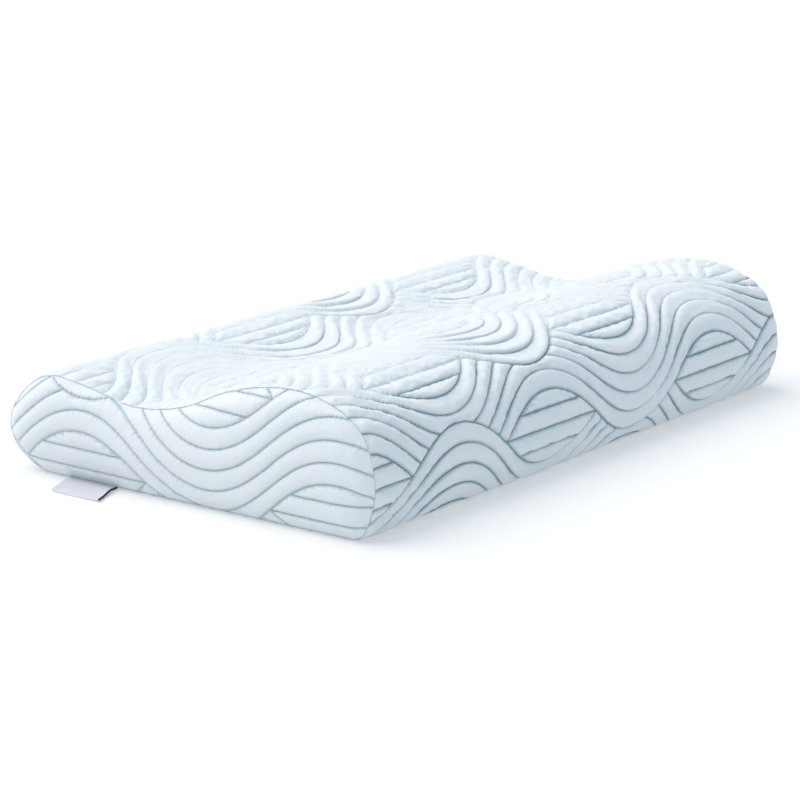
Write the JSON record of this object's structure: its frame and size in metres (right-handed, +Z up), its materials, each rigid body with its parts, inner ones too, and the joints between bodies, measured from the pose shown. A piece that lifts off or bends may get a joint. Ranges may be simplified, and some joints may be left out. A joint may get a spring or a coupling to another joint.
{
  "type": "cervical pillow",
  "caption": "Contour neck pillow with a high lobe, a hollow for the head and a low lobe, in a quilted cover with sewn end panels and a plain label.",
  "frame": {"origin": "on the underside, midway between the two end seams", "axes": "+X along the pillow, -Y towards the high lobe, +Z up; the label is at the -X end"},
  "size_m": [0.5399, 0.3103, 0.0916],
  "materials": {
    "quilted_knit": "quilted white knit with pale grey-green stitching",
    "satin_label": "plain white satin with a dark edge thread"
  },
  "bodies": {
    "root": {"pillow_body": "quilted_knit", "end_panel_left": "quilted_knit", "end_panel_right": "quilted_knit", "seam_label": "satin_label"}
  },
  "joints": []
}
